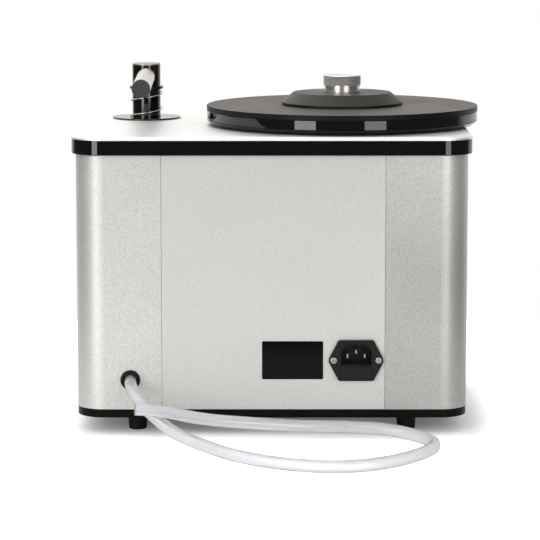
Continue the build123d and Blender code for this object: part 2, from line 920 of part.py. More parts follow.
def strap_screws():
    length = strap_t + strap_screw_bite
    screw = Rot(180, 0, 0) * pan_screw(strap_screw_head_r, strap_screw_head_h, strap_screw_r, length)
    seat = base_top + strap_t
    return combined(Pos(x, tank_front_y + strap_y, seat) * screw for x in strap_screw_places())


def suction_coupling():
    low = tank_top + tank_spigot_h - coupling_overlap
    high = guide_spigot_z + coupling_overlap
    return pipe(spigot_r + coupling_wall, spigot_r, high - low, pillar_x, pillar_y, low)


def vacuum_hose():
    start_z = tank_top + tank_spigot_h - hose_overlap
    end_z = intake_top - hose_overlap
    top_z = tank_top + vacuum_hose_rise
    points = [(vacuum_x(), turbine_y, start_z), (vacuum_x(), turbine_y, top_z),
              (turbine_x, turbine_y, top_z), (turbine_x, turbine_y, end_z)]
    path = FilletPolyline(*points, radius=vacuum_hose_bend_r)
    outer = sweep(Plane(path @ 0, z_dir=path % 0) * Circle(intake_r + hose_wall), path=path)
    bore = sweep(Plane(path @ 0, z_dir=path % 0) * Circle(vacuum_spigot_r), path=path)
    hose = outer - bore
    return hose - rod(intake_r, hose_overlap, turbine_x, turbine_y, end_z)


def drain_spigot():
    start = tank_rear_y - tank_wall
    tube = rod_y(drain_spigot_r, hose_start_y - start, drain_x, start, drain_z)
    tube += rod_y(drain_collar_r, drain_collar_h, drain_x, tank_rear_y, drain_z)
    return tube - rod_y(drain_spigot_bore_r, hose_start_y - start, drain_x, start, drain_z)


def drain_grommet():
    inner_face = -sheet_t
    profile = [(drain_hose_r + grommet_fit, grommet_lip_h),
               (drain_hose_r + grommet_fit, inner_face - grommet_lip_h),
               (grommet_r, inner_face - grommet_lip_h), (grommet_r, inner_face),
               (grommet_neck_r, inner_face), (grommet_neck_r, 0), (grommet_r, 0),
               (grommet_r, grommet_lip_h)]
    ring = turned(profile)
    rims = edges_at(ring, grommet_lip_h)
    ring = fillet(rims, grommet_edge)
    return Pos(drain_x, rear_y, drain_z) * Rot(-90, 0, 0) * ring


# The drain hose leaves the grommet, drops to the floor, loops wide behind the machine and comes
# back to rest its open end on its own first stretch. Points are (right of case, behind case, up).
drain_route = [
    (114.8, -8.0, 44.3),
    (114.8, 7.4, 44.0),
    (111.6, 21.5, 38.3),
    (103.7, 31.9, 29.4),
    (91.9, 37.4, 19.4),
    (79.9, 42.5, 10.8),
    (66.3, 53.8, 6.2),
    (50.0, 76.5, 5.1),
    (28.3, 108.9, 5.1),
    (-8.8, 138.5, 5.1),
    (-49.2, 149.1, 5.1),
    (-83.7, 136.5, 5.1),
    (-112.0, 107.3, 5.1),
    (-130.6, 72.3, 5.1),
    (-122.8, 41.4, 5.1),
    (-96.9, 24.4, 8.4),
    (-60.2, 20.3, 10.0),
    (-22.1, 25.0, 11.0),
    (13.6, 32.0, 14.9),
    (55.3, 39.3, 19.4),
    (89.0, 43.9, 28.0),
    (109.0, 46.5, 29.5),
]


def bend_radii(points):
    """Radius of each bend: 0.45 of its shorter run over the tangent of half the turn."""
    radii = []
    for before, here, after in zip(points, points[1:], points[2:]):
        run_in = Vector(*here) - Vector(*before)
        run_out = Vector(*after) - Vector(*here)
        half_turn = radians(run_in.get_angle(run_out)) / 2
        radii.append(0.45 * min(run_in.length, run_out.length) / tan(half_turn))
    return radii


def drain_hose():
    points = [(x, rear_y + back, z) for x, back, z in drain_route]
    radii = bend_radii(points)
    print("drain hose bend radii:", [round(r, 1) for r in radii])
    path = FilletPolyline(*points, radius=radii)
    section = Plane(path @ 0, z_dir=path % 0) * (Circle(drain_hose_r) - Circle(drain_hose_bore_r))
    hose = sweep(section, path=path)
    area = pi * (drain_hose_r ** 2 - drain_hose_bore_r ** 2)
    print("drain hose length:", round(path.length, 1), "volume ratio:",
          round(hose.volume / (area * path.length), 4))
    return hose


# Vacuum motor

def fan_housing():
    top = fan_z + fan_h
    body = rod(fan_r, fan_h - fan_step_h, z=fan_z)
    body += rod(fan_bead_r, fan_bead_h, z=fan_z + (fan_h - fan_step_h) / 2)
    step = rod(fan_step_r, fan_step_h, z=top - fan_step_h)
    step = fillet(edges_at(step, top), fan_edge)
    body += step
    body += rod(intake_r, intake_h, z=top)
    body -= rod(intake_bore_r, intake_h + fan_step_h, z=top - fan_step_h)
    reach = turbine_x - duct_x - duct_w / 2
    neck = block(reach, duct_d - 2 * duct_wall, duct_neck_h, -reach / 2, 0, fan_z + duct_wall)
    return Pos(turbine_x, turbine_y, 0) * (body + neck)


def vacuum_motor():
    can = rod(fan_motor_r, fan_motor_h, z=fan_motor_z)
    can = fillet(edges_at(can, fan_motor_z), fan_motor_edge)
    window_z = fan_motor_z + (fan_motor_h - motor_window_h) / 2
    for i in range(motor_window_count):
        window = block(2 * motor_window_depth, motor_window_w, motor_window_h, fan_motor_r, 0, window_z)
        can -= Rot(0, 0, 360 / motor_window_count * (i + 0.5)) * window
    can -= rod(fan_motor_bore_r, motor_window_depth, z=fan_motor_z)
    return Pos(turbine_x, turbine_y, 0) * can


def motor_mount_ring():
    return pipe(mount_ring_out_r, mount_ring_in_r, mount_ring_h, turbine_x, turbine_y, base_top)


def exhaust_duct():
    height = fan_z + duct_neck_h + 2 * duct_wall - base_top
    duct = block(duct_w, duct_d, height, z=base_top)
    duct -= block(duct_w - 2 * duct_wall, duct_d - 2 * duct_wall, height - duct_wall, z=base_top)
    duct -= block(2 * duct_wall, duct_d - 2 * duct_wall, duct_neck_h, duct_w / 2, 0, fan_z + duct_wall)
    return Pos(duct_x, turbine_y, 0) * duct


# Mains inlet

def inlet_outline():
    tips = [Pos(side * inlet_tip_x, 0) * Circle(inlet_tip_r) for side in (-1, 1)]
    shoulders = [Pos(x, z) * Circle(inlet_corner_r) for x, z in corners(inlet_corner_x, inlet_corner_z)]
    edges = [edge for disc in tips + shoulders for edge in disc.edges()]
    return make_hull(edges)


def rear_sketch(sketch, y):
    """Sketch turned to face the rear at depth y, centred on the inlet."""
    return Plane((inlet_x, y, inlet_z), x_dir=(1, 0, 0), z_dir=(0, -1, 0)) * sketch


def socket_outline():
    half = socket_w / 2
    top = socket_z + socket_h / 2
    bottom = socket_z - socket_h / 2
    return make_face(Polyline((-half, bottom), (half, bottom), (half, top - socket_chamfer),
                              (half - socket_chamfer, top), (socket_chamfer - half, top),
                              (-half, top - socket_chamfer), close=True))


def inlet_housing():
    housing = extrude(rear_sketch(inlet_outline(), panel_y), -inlet_flange_h)
    housing += block(inlet_body_w, inlet_body_d, inlet_body_h, inlet_x, panel_y - inlet_body_d / 2,
                     inlet_z - inlet_body_h / 2)
    housing -= extrude(rear_sketch(socket_outline(), inlet_face_y), socket_depth)
    face_w = drawer_w + 2 * drawer_gap
    face_h = drawer_h + 2 * drawer_gap
    housing -= block(face_w, drawer_face_t, face_h, inlet_x, inlet_face_y - drawer_face_t / 2,
                     inlet_z + drawer_z - face_h / 2)
    body_w = drawer_body_w + 2 * drawer_gap
    body_h = drawer_body_h + 2 * drawer_gap
    depth = drawer_body_d + drawer_face_t + drawer_gap
    housing -= block(body_w, depth, body_h, inlet_x, inlet_face_y - depth / 2,
                     inlet_z + drawer_z - body_h / 2)
    for x, z in pin_places():
        housing -= block(pin_w, 4 * inlet_body_d, pin_h, x, panel_y, z - pin_h / 2)
    for side in (-1, 1):
        x = inlet_x + side * inlet_screw_x
        housing -= rod_y(inlet_screw_r, inlet_flange_h, x, panel_y, inlet_z)
        housing -= rod_y(inlet_screw_head_r, inlet_screw_head_h, x, inlet_face_y - inlet_screw_head_h,
                         inlet_z)
    return housing


def pin_places():
    return [(inlet_x - pin_x, inlet_z + pin_z), (inlet_x + pin_x, inlet_z + pin_z),
            (inlet_x, inlet_z + earth_pin_z)]


def inlet_pins():
    root = inlet_face_y - socket_depth
    back = panel_y - inlet_body_d - pin_tail
    pins = []
    for x, z in pin_places():
        pin = block(pin_w, root + pin_len - back, pin_h, x, (root + pin_len + back) / 2, z - pin_h / 2)
        tip = pin.faces().sort_by(Axis.Y)[-1].edges()
        pins.append(chamfer(tip, pin_tip))
    return combined(pins)


def inlet_screws():
    screw = pan_screw(inlet_screw_head_r, inlet_screw_head_h, inlet_screw_r, inlet_screw_len)
    seat = inlet_face_y - inlet_screw_head_h
    places = [inlet_x + side * inlet_screw_x for side in (-1, 1)]
    return combined(Pos(x, seat, inlet_z) * Rot(90, 0, 0) * screw for x in places)


def fuse_drawer():
    z = inlet_z + drawer_z
    face = block(drawer_w, drawer_face_t, drawer_h, inlet_x, inlet_face_y - drawer_face_t / 2,
                 z - drawer_h / 2)
    front_y_of_body = inlet_face_y - drawer_face_t
    body = block(drawer_body_w, drawer_body_d, drawer_body_h, inlet_x,
                 front_y_of_body - drawer_body_d / 2, z - drawer_body_h / 2)
    trough_w = drawer_body_w - 2 * drawer_wall
    body -= block(trough_w, drawer_body_d - 2 * drawer_wall, drawer_body_h, inlet_x,
                  front_y_of_body - drawer_body_d / 2, z - drawer_body_h / 2 + drawer_wall)
    grip = block(drawer_grip_w, drawer_face_t, drawer_grip_h, inlet_x, inlet_face_y,
                 z + drawer_h / 2 - drawer_grip_h)
    return face + body - grip


def fuse():
    z = inlet_z + drawer_z - drawer_body_h / 2 + drawer_wall + fuse_r
    y = inlet_face_y - drawer_face_t - drawer_body_d / 2
    return rod_x(fuse_r, fuse_len, inlet_x, y, z)


def rating_plate():
    sketch = RectangleRounded(plate_w, plate_h, plate_r)
    plane = Plane((plate_x, panel_y, plate_z), x_dir=(1, 0, 0), z_dir=(0, -1, 0))
    return extrude(plane * sketch, -plate_t)


# Rocker switches, drawn about their own pivot and set into the front

def switch_housing(x):
    bezel = rounded_block(switch_w, switch_h, switch_bezel_h, switch_bezel_edge * 2)
    bezel = chamfer(outer_edges_at(bezel, switch_bezel_h), switch_bezel_edge)
    body = block(switch_body_w, switch_body_h, switch_body_d, z=-switch_body_d)
    well_w = switch_body_w - 2 * switch_wall
    well_h = switch_body_h - 2 * switch_wall
    well = block(well_w, well_h, switch_depth + switch_bezel_h, z=-switch_depth)
    pin = Pos(0, 0, -rocker_pivot_in) * Rot(0, 90, 0) * Cylinder(rocker_pin_r + fit, rocker_pin_len + fit)
    return Pos(x, front_y, switch_z) * Rot(90, 0, 0) * (bezel + body - well - pin)


def switch_housings():
    return combined(switch_housing(x) for x in (switch_x - switch_pitch, switch_x))


def rocker(x, tilt_deg):
    half = rocker_h / 2
    profile = Polyline((-half, rocker_crown), (0, rocker_valley), (half, rocker_crown),
                       (half - rocker_skirt / 3, -rocker_skirt), (0, -1.6 * rocker_skirt),
                       (rocker_skirt / 3 - half, -rocker_skirt), close=True)
    solid = extrude(Plane.YZ * make_face(profile), rocker_w / 2, both=True)
    solid += Rot(0, 90, 0) * Cylinder(rocker_pin_r, rocker_pin_len)
    seat = Pos(x, front_y, switch_z) * Rot(90, 0, 0) * Pos(0, 0, -rocker_pivot_in)
    return seat * Rot(tilt_deg, 0, 0) * solid


# Power board

def board_x():
    return -inner_x + board_wall_gap + board_w / 2


def power_board():
    board = block(board_w, board_d, board_t, board_x(), board_y, base_top + board_lift)
    for x, y in corners(board_w / 2 - standoff_inset, board_d / 2 - standoff_inset):
        board -= rod(standoff_r / 2, board_t, board_x() + x, board_y + y, base_top + board_lift)
    return board


def board_standoffs():
    posts = []
    for x, y in corners(board_w / 2 - standoff_inset, board_d / 2 - standoff_inset):
        post = rod(standoff_r, board_lift, board_x() + x, board_y + y, base_top)
        post += rod(standoff_r / 2, board_t, board_x() + x, board_y + y, base_top + board_lift)
        posts.append(post)
    return combined(posts)


def board_top():
    return base_top + board_lift + board_t


def transformer():
    x = board_x() - board_w / 2 + standoff_inset * 2 + transformer_w / 2
    core = block(transformer_w, core_t, core_h, x, board_y, board_top())
    coil = block(coil_w, transformer_d, coil_h, x, board_y, board_top() + (core_h - coil_h) / 2)
    return core + fillet(coil.edges().filter_by(Axis.Z), coil_edge)


def board_parts():
    first_x = board_x() + capacitor_pitch / 2
    parts = [transformer()]
    for i in range(2):
        can = rod(capacitor_r, capacitor_h, first_x + capacitor_pitch * i,
                  board_y - board_d / 4, board_top())
        parts.append(fillet(edges_at(can, board_top() + capacitor_h), 1))
        parts.append(block(relay_w, relay_d, relay_h, first_x + relay_pitch * i,
                           board_y + board_d / 5, board_top()))
    return combined(parts)


nodes = {
    "base_plate": base_plate,
    "feet": feet,
    "foot_screws": foot_screws,
    "wrap_case": wrap_case,
    "rear_panel": rear_panel,
    "seam_strips": seam_strips,
    "corner_posts": corner_posts,
    "base_screws": base_screws,
    "band_screws": band_screws,
    "top_band": top_band,
    "deck_plate": deck_plate,
    "platter": platter,
    "platter_mat": platter_mat,
    "platter_hub": platter_hub,
    "spindle": spindle,
    "drive_shaft": drive_shaft,
    "drive_gearbox": drive_gearbox,
    "shaft_bearing": shaft_bearing,
    "gearbox_posts": gearbox_posts,
    "drive_motor": drive_motor,
    "clamp_disc": clamp_disc,
    "clamp_gasket": clamp_gasket,
    "clamp_knob": clamp_knob,
    "pillar_flange": pillar_flange,
    "pillar_guide": pillar_guide,
    "guide_seal": guide_seal,
    "guide_screws": guide_screws,
    "lift_spring": lift_spring,
    "thrust_washer": thrust_washer,
    "retaining_ring": retaining_ring,
    "arm_pillar": arm_pillar,
    "pillar_cap": pillar_cap,
    "arm_tube": arm_tube,
    "arm_end_cap": arm_end_cap,
    "lip_strips": lip_strips,
    "waste_tank": waste_tank,
    "tank_lid": tank_lid,
    "tank_strap": tank_strap,
    "strap_screws": strap_screws,
    "suction_coupling": suction_coupling,
    "vacuum_hose": vacuum_hose,
    "drain_spigot": drain_spigot,
    "drain_grommet": drain_grommet,
    "drain_hose": drain_hose,
    "fan_housing": fan_housing,
    "vacuum_motor": vacuum_motor,
    "motor_mount_ring": motor_mount_ring,
    "exhaust_duct": exhaust_duct,
    "inlet_housing": inlet_housing,
    "inlet_pins": inlet_pins,
    "inlet_screws": inlet_screws,
    "fuse_drawer": fuse_drawer,
    "fuse": fuse,
    "rating_plate": rating_plate,
    "switch_housings": switch_housings,
    "direction_rocker": lambda: rocker(switch_x - switch_pitch, 0),
    "vacuum_rocker": lambda: rocker(switch_x, rocker_tilt_deg),
    "power_board": power_board,
    "board_standoffs": board_standoffs,
    "board_parts": board_parts,
}

os.makedirs("parts", exist_ok=True)
for name, make in nodes.items():
    export_step(placed(make()), f"parts/{name}.step")
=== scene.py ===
import math

import bmesh
import bpy
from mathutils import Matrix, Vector


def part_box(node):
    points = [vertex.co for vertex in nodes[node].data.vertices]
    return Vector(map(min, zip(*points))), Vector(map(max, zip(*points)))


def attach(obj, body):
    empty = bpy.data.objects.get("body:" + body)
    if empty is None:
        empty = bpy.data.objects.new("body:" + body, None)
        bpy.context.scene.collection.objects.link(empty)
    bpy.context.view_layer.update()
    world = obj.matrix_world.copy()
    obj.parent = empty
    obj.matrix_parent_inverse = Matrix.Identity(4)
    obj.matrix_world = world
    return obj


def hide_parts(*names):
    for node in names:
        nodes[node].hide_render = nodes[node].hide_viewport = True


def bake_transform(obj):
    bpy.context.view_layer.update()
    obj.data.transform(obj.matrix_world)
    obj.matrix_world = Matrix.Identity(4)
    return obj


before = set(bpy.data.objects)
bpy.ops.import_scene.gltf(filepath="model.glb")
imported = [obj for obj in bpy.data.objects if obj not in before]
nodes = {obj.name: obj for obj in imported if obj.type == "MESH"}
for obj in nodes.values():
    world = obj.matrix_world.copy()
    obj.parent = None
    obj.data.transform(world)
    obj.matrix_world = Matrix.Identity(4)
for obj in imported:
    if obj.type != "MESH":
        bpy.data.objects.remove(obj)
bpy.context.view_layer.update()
scene = bpy.context.scene
scene.view_settings.view_transform = "Standard"
mm = 0.001

camera = {
    "lens": 173.33,  # mm
    "sensor": 36,
    "farClip": 20,
    "place": (0.00688, 2.18686, 0.4354),
    "pitchDeg": 8.263,  # looking down from level
}


def makeCamera(values):
    data = bpy.data.cameras.new("camera")
    data.lens = values["lens"]
    data.sensor_width = values["sensor"]
    data.clip_end = values["farClip"]
    cam = bpy.data.objects.new("camera", data)
    cam.location = values["place"]
    cam.rotation_euler = (math.radians(90 - values["pitchDeg"]), 0, math.pi)
    scene.collection.objects.link(cam)
    scene.camera = cam


makeCamera(camera)
print("camera placed")


def linear(hexText):
    # sRGB hex to the linear colour that a socket takes
    parts = [int(hexText[i:i + 2], 16) / 255 for i in (0, 2, 4)]
    return [p / 12.92 if p <= 0.04045 else ((p + 0.055) / 1.055) ** 2.4 for p in parts] + [1.0]


def addNode(tree, kind, settings=None, links=None):
    # settings name a property or a socket; links name a socket and the output that feeds it
    node = tree.nodes.new(kind)
    for name, value in (settings or {}).items():
        if isinstance(name, str) and name in node.bl_rna.properties:
            setattr(node, name, value)
        else:
            node.inputs[name].default_value = value
    for name, output in (links or {}).items():
        tree.links.new(output, node.inputs[name])
    return node


def newMaterial(name):
    material = bpy.data.materials.new(name)
    material.use_nodes = True
    material.node_tree.nodes.clear()
    return material, material.node_tree


hose = {
    "radius": 5.0,
    "bore": 3.5,
    "length": 636.1,
    "caseX": 5.3,  # the case's middle
    "rearY": 113.7,  # its rear face
    "exit": (114.8, 0.0, 44.2),  # from the case's middle, from its rear face, up
    "route": [  # measured the same way
        (114.8, -8.0, 44.3), (114.8, 7.4, 44.0), (111.6, 21.5, 38.3), (103.7, 31.9, 29.4),
        (91.9, 37.4, 19.4), (79.9, 42.5, 10.8), (66.3, 53.8, 6.2), (50.0, 76.5, 5.1),
        (28.3, 108.9, 5.1), (-8.8, 138.5, 5.1), (-49.2, 149.1, 5.1), (-83.7, 136.5, 5.1),
        (-112.0, 107.3, 5.1), (-130.6, 72.3, 5.1), (-122.8, 41.4, 5.1), (-96.9, 24.4, 8.4),
        (-60.2, 20.3, 10.0), (-22.1, 25.0, 11.0), (13.6, 32.0, 14.9), (55.3, 39.3, 19.4),
        (89.0, 43.9, 28.0), (109.0, 46.5, 29.5),
    ],
    "curveSteps": 12,
    "roundSteps": 8,
    "milkMm": 25,  # cloudy patches in the silicone
    "clarity": 0.85,  # the rest of the light is scattered by the milkiness
    "index": 1.41,
    "cool": "f1f4fa",
    "clear": "faf9f6",
    "roughness": (0.32, 0.42),  # blurs what is seen through the wall
    "skin": (0.8, 0.06),  # strength and roughness of the glossy skin
}


def siliconeFinish(values):
    # extruded silicone: translucent and slightly milky, so that what is behind it is blurred,
    # with a glossy skin
    material, tree = newMaterial("extrudedMilkySilicone")
    place = addNode(tree, "ShaderNodeTexCoord").outputs["Object"]
    milk = addNode(tree, "ShaderNodeTexNoise", {
        "Scale": 1 / (values["milkMm"] * mm), "Detail": 1.0}, {"Vector": place}).outputs[0]
    colour = addNode(tree, "ShaderNodeMix", {
        "data_type": "RGBA", 6: linear(values["cool"]), 7: linear(values["clear"])}, {0: milk})
    smooth, rough = values["roughness"]
    gloss = addNode(tree, "ShaderNodeMapRange", {"To Min": smooth, "To Max": rough}, {"Value": milk})
    skin, skinRoughness = values["skin"]
    shader = addNode(tree, "ShaderNodeBsdfPrincipled", {
        "IOR": values["index"], "Transmission Weight": values["clarity"],
        "Coat Weight": skin, "Coat Roughness": skinRoughness,
    }, {"Base Color": colour.outputs[2], "Roughness": gloss.outputs[0]})
    addNode(tree, "ShaderNodeOutputMaterial", links={"Surface": shader.outputs[0]})
    return material


def fromRear(values, point):
    x, y, z = point
    return ((x + values["caseX"]) * mm, (y + values["rearY"]) * mm, z * mm)


def makeHose(values):
    points = [fromRear(values, point) for point in values["route"]]
    curve = bpy.data.curves.new("drainHose", "CURVE")
    curve.dimensions = "3D"
    spline = curve.splines.new("NURBS")
    spline.points.add(len(points) - 1)
    for point, place in zip(spline.points, points):
        point.co = (*place, 1.0)
    spline.order_u = 3
    spline.use_endpoint_u = True
    curve.resolution_u = values["curveSteps"]
    curve.bevel_depth = values["radius"] * mm
    curve.bevel_resolution = values["roundSteps"]
    item = bpy.data.objects.new("drainHose", curve)
    scene.collection.objects.link(item)
    wall = item.modifiers.new("wall", "SOLIDIFY")
    wall.thickness = (values["radius"] - values["bore"]) * mm
    wall.offset = -1  # inwards
    item.data.materials.append(siliconeFinish(values))
    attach(item, "chassis")
    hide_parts("drain_hose")


makeHose(hose)
print("drain hose laid")


def middle(nodeName):
    # the upright axis of a round node, in metres
    low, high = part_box(nodeName)
    return ((low.x + high.x) / 2, (low.y + high.y) / 2)


spindleAxis = middle("platter")
pillarAxis = middle("thrust_washer")

shaderSettings = ("Metallic", "IOR", "Coat Weight", "Coat Roughness", "Anisotropic", "Specular IOR Level",
                  "Sheen Weight", "Sheen Roughness", "Transmission Weight")
# what a finish has unless it says otherwise
usualFinish = {"stretch": (1, 1, 1), "driftMm": 40, "roughnessDrift": 0.03}
# noise keeps near the middle of 0 to 1, so this part of it is widened to the whole
noiseLow, noiseHigh = 0.3, 0.7


def surfaceFinish(values):
    # a metal, plastic or rubber: fine grain in its colour and relief, slow drift in its gloss
    values = {**usualFinish, **values}
    material, tree = newMaterial(values["name"])
    place = addNode(tree, "ShaderNodeTexCoord").outputs["Object"]
    along = addNode(tree, "ShaderNodeMapping", {"Scale": values["stretch"]}, {"Vector": place})
    grain = addNode(tree, "ShaderNodeTexNoise", {
        "Scale": 1 / (values["grainMm"] * mm), "Detail": 2.0, "Roughness": 0.55,
    }, {"Vector": along.outputs[0]}).outputs[0]
    drift = addNode(tree, "ShaderNodeTexNoise", {
        "Scale": 1 / (values["driftMm"] * mm), "Detail": 2.0}, {"Vector": place}).outputs[0]
    height = grain
    links = {}
    if "turnedAbout" in values:
        # rings left by the lathe, round this axis, and reflections drawn out across them
        x, y = values["turnedAbout"]
        centred = addNode(tree, "ShaderNodeMapping", {"Location": (-x, -y, 0)}, {"Vector": place}).outputs[0]
        height = addNode(tree, "ShaderNodeTexWave", {
            # at scale 1 the rings are pi / 10 apart
            "wave_type": "RINGS", "rings_direction": "Z", "Scale": math.pi / 10 / (values["ringMm"] * mm),
            "Distortion": 1.5, "Detail": 1.0, "Detail Scale": 0.4}, {"Vector": centred}).outputs[1]
        across = addNode(tree, "ShaderNodeVectorMath", {
            "operation": "CROSS_PRODUCT", 0: (0, 0, 1)}, {1: centred})
        links["Tangent"] = addNode(tree, "ShaderNodeVectorMath", {"operation": "NORMALIZE"},
                                   {0: across.outputs[0]}).outputs[0]
    tint = addNode(tree, "ShaderNodeMapRange", {
        "From Min": noiseLow, "From Max": noiseHigh}, {"Value": height})
    colour = addNode(tree, "ShaderNodeMix", {
        "data_type": "RGBA", 6: linear(values["dark"]), 7: linear(values["light"])}, {0: tint.outputs[0]})
    swing = values["roughnessDrift"]
    gloss = addNode(tree, "ShaderNodeMapRange", {
        "From Min": noiseLow, "From Max": noiseHigh, "To Min": values["roughness"] - swing,
        "To Max": values["roughness"] + swing}, {"Value": drift})
    if "paintedShadeSide" in values:
        # painted shade: beyond one side and towards the rear, the colour is darkened the lower it is; the
        # surface there is also a little smoother
        grey = values["paintedShadeSide"]
        parts = addNode(tree, "ShaderNodeSeparateXYZ", links={0: place})
        past = addNode(tree, "ShaderNodeMapRange", {
            "From Min": grey["sideX"] * mm, "From Max": grey["fullX"] * mm}, {"Value": parts.outputs["X"]})
        rear = addNode(tree, "ShaderNodeMapRange", {
            "interpolation_type": "SMOOTHSTEP", "From Min": grey["frontY"] * mm,
            "From Max": grey["rearY"] * mm}, {"Value": parts.outputs["Y"]})
        past = addNode(tree, "ShaderNodeMath", {"operation": "MULTIPLY"},
                       {0: past.outputs[0], 1: rear.outputs[0]})
        lower = addNode(tree, "ShaderNodeMapRange", {
            "interpolation_type": "SMOOTHSTEP", "From Min": grey["topZ"] * mm,
            "From Max": grey["footZ"] * mm}, {"Value": parts.outputs["Z"]})
        both = addNode(tree, "ShaderNodeMath", {"operation": "MULTIPLY"},
                       {0: past.outputs[0], 1: lower.outputs[0]})
        # the painted shade's colour is multiplied in here
        colour = addNode(tree, "ShaderNodeMix", {
            "data_type": "RGBA", "blend_type": "MULTIPLY", 7: linear(grey["tint"])},
            {0: both.outputs[0], 6: colour.outputs[2]})
        less = addNode(tree, "ShaderNodeMath", {"operation": "MULTIPLY", 1: grey["smoother"]},
                       {0: past.outputs[0]})
        gloss = addNode(tree, "ShaderNodeMath", {"operation": "SUBTRACT"},
                        {0: gloss.outputs[0], 1: less.outputs[0]})
    links["Base Color"] = colour.outputs[2]
    links["Roughness"] = gloss.outputs[0]
    if "reliefMm" in values:
        links["Normal"] = addNode(tree, "ShaderNodeBump", {"Distance": values["reliefMm"] * mm},
                                  {"Height": height}).outputs[0]
    settings = {name: values[name] for name in shaderSettings if name in values}
    if "sheen" in values:
        settings["Sheen Tint"] = linear(values["sheen"])
    shader = addNode(tree, "ShaderNodeBsdfPrincipled", settings, links)
    addNode(tree, "ShaderNodeOutputMaterial", links={"Surface": shader.outputs[0]})
    return material


# bead-blasted, clear-anodised aluminium sheet: silver with a fine sparkle and broad soft reflections;
# its 0.1 mm pits are drawn 0.7 mm wide so that they show, and its oxide film scatters some of the light
caseSheet = {"name": "blastedAnodisedAluminium", "dark": "b2b0ad", "light": "d4d2cf", "grainMm": 0.7,
             "Metallic": 0.75, "roughness": 0.5, "reliefMm": 0.022, "driftMm": 60, "roughnessDrift": 0.02}
# the wrapped sheet is the same, but at its far rear corner it is a little smoother and has painted shade,
# darker lower down
wrapSheet = {**caseSheet, "name": "wrappedAnodisedAluminium", "paintedShadeSide": {
    "sideX": -65, "fullX": -80, "frontY": -80, "rearY": 95, "topZ": 235, "footZ": 120,
    "tint": "e2e2e1", "smoother": 0.05}}
# the rear panel's pits are a little deeper
panelSheet = {**caseSheet, "name": "panelAnodisedAluminium", "reliefMm": 0.035}
# brushed then anodised aluminium plate: paler and smoother, with faint lines from side to side;
# the 0.1 mm lines are drawn 0.5 mm wide
deckPlate = {"name": "satinAnodisedAluminium", "dark": "e6e4e1", "light": "f6f4f2", "grainMm": 0.5,
             "stretch": (0.06, 1, 1), "Metallic": 1.0, "roughness": 0.5, "reliefMm": 0.002}
# brushed and anodised end plug: warm grey
capDisc = {**deckPlate, "name": "brushedAnodisedPlug", "dark": "a29c95", "light": "b8b2ab"}
# cast acrylic sheet with polished edges: deep black, hard clear reflections
blackAcrylic = {"name": "polishedCastAcrylic", "dark": "050505", "light": "090908", "grainMm": 30,
                "roughness": 0.03, "roughnessDrift": 0.01, "IOR": 1.49}
# lacquered board under the case: black and dull, with a little orange peel
baseBoard = {"name": "lacqueredBlackBoard", "dark": "050505", "light": "0a0a09", "grainMm": 1.6,
             "roughness": 0.3, "reliefMm": 0.0005, "IOR": 1.5, "Specular IOR Level": 0.08}
# pressed cork and rubber: nearly black, fine crumbs, brown and hazy at a low angle; crumbs drawn 0.8 mm
matRubber = {"name": "pressedCorkRubber", "dark": "0b0a09", "light": "151311", "grainMm": 0.8,
             "roughness": 0.45, "reliefMm": 0.02, "IOR": 1.5, "Specular IOR Level": 0.12,
             "Sheen Weight": 0.3, "Sheen Roughness": 0.3, "sheen": "b0a496"}
# turned and black-anodised aluminium: satin black, with a film that scatters some of the light;
# its 0.15 mm tool rings are drawn 1.3 mm apart
clampDisc = {"name": "turnedBlackAnodising", "dark": "302e2b", "light": "3b3935", "grainMm": 0.5,
             "Metallic": 0.7, "roughness": 0.42, "Anisotropic": 0.6, "turnedAbout": spindleAxis,
             "ringMm": 1.3, "reliefMm": 0.01}
# knurled, then turned aluminium: bare silver-grey with sharp bright edges
turnedAluminium = {"name": "turnedBareAluminium", "dark": "cfccc7", "light": "e8e6e2", "grainMm": 0.3,
                   "Metallic": 1.0, "roughness": 0.24, "turnedAbout": spindleAxis, "ringMm": 0.5,
                   "reliefMm": 0.002, "Anisotropic": 0.3}
# the bottoms of the knurl's grooves: painted shade, dark where shade falls in them, and dull
knurlGrooveShade = {"name": "knurlGroovePaintedShade", "dark": "3d3934", "light": "4c4741", "grainMm": 0.3,
                "Metallic": 1.0, "roughness": 0.5, "reliefMm": 0.01}
# milled aluminium: grey, soft reflections
milledAluminium = {"name": "milledAluminium", "dark": "b4b4b6", "light": "d0d0d2", "grainMm": 0.4,
                   "Metallic": 1.0, "roughness": 0.3, "reliefMm": 0.002}
# die-cast aluminium: dull grey with a coarse skin
castAluminium = {"name": "dieCastAluminium", "dark": "8e8f92", "light": "a9aaac", "grainMm": 1.5,
                 "Metallic": 1.0, "roughness": 0.5, "reliefMm": 0.04}
# drawn and satin-finished tube: warm silver, with lines along it drawn 0.5 mm wide
drawnTube = {"name": "drawnSatinAluminium", "dark": "c3bab2", "light": "dcd3cb", "grainMm": 0.5,
             "stretch": (1, 0.05, 1), "Metallic": 1.0, "roughness": 0.34, "reliefMm": 0.003}
# drawn stainless wire: bright, slightly warm
springWire = {"name": "drawnStainlessWire", "dark": "a8a29b", "light": "c4beb7", "grainMm": 0.6,
              "Metallic": 1.0, "roughness": 0.22, "reliefMm": 0.002}
# blackened spring steel: dark grey with a low sheen
blackenedSteel = {"name": "blackenedSpringSteel", "dark": "2c2c2d", "light": "434344", "grainMm": 0.8,
                  "Metallic": 1.0, "roughness": 0.3, "reliefMm": 0.003}
# ground steel: bright with clear reflections
groundSteel = {"name": "groundSteel", "dark": "bcbcbe", "light": "d6d6d8", "grainMm": 0.4,
               "stretch": (1, 1, 0.2), "Metallic": 1.0, "roughness": 0.2, "reliefMm": 0.002}
# zinc-plated steel: cool grey, slightly mottled
zincSteel = {"name": "zincPlatedSteel", "dark": "a3a6aa", "light": "c0c3c5", "grainMm": 1.0,
             "Metallic": 1.0, "roughness": 0.34, "reliefMm": 0.006}
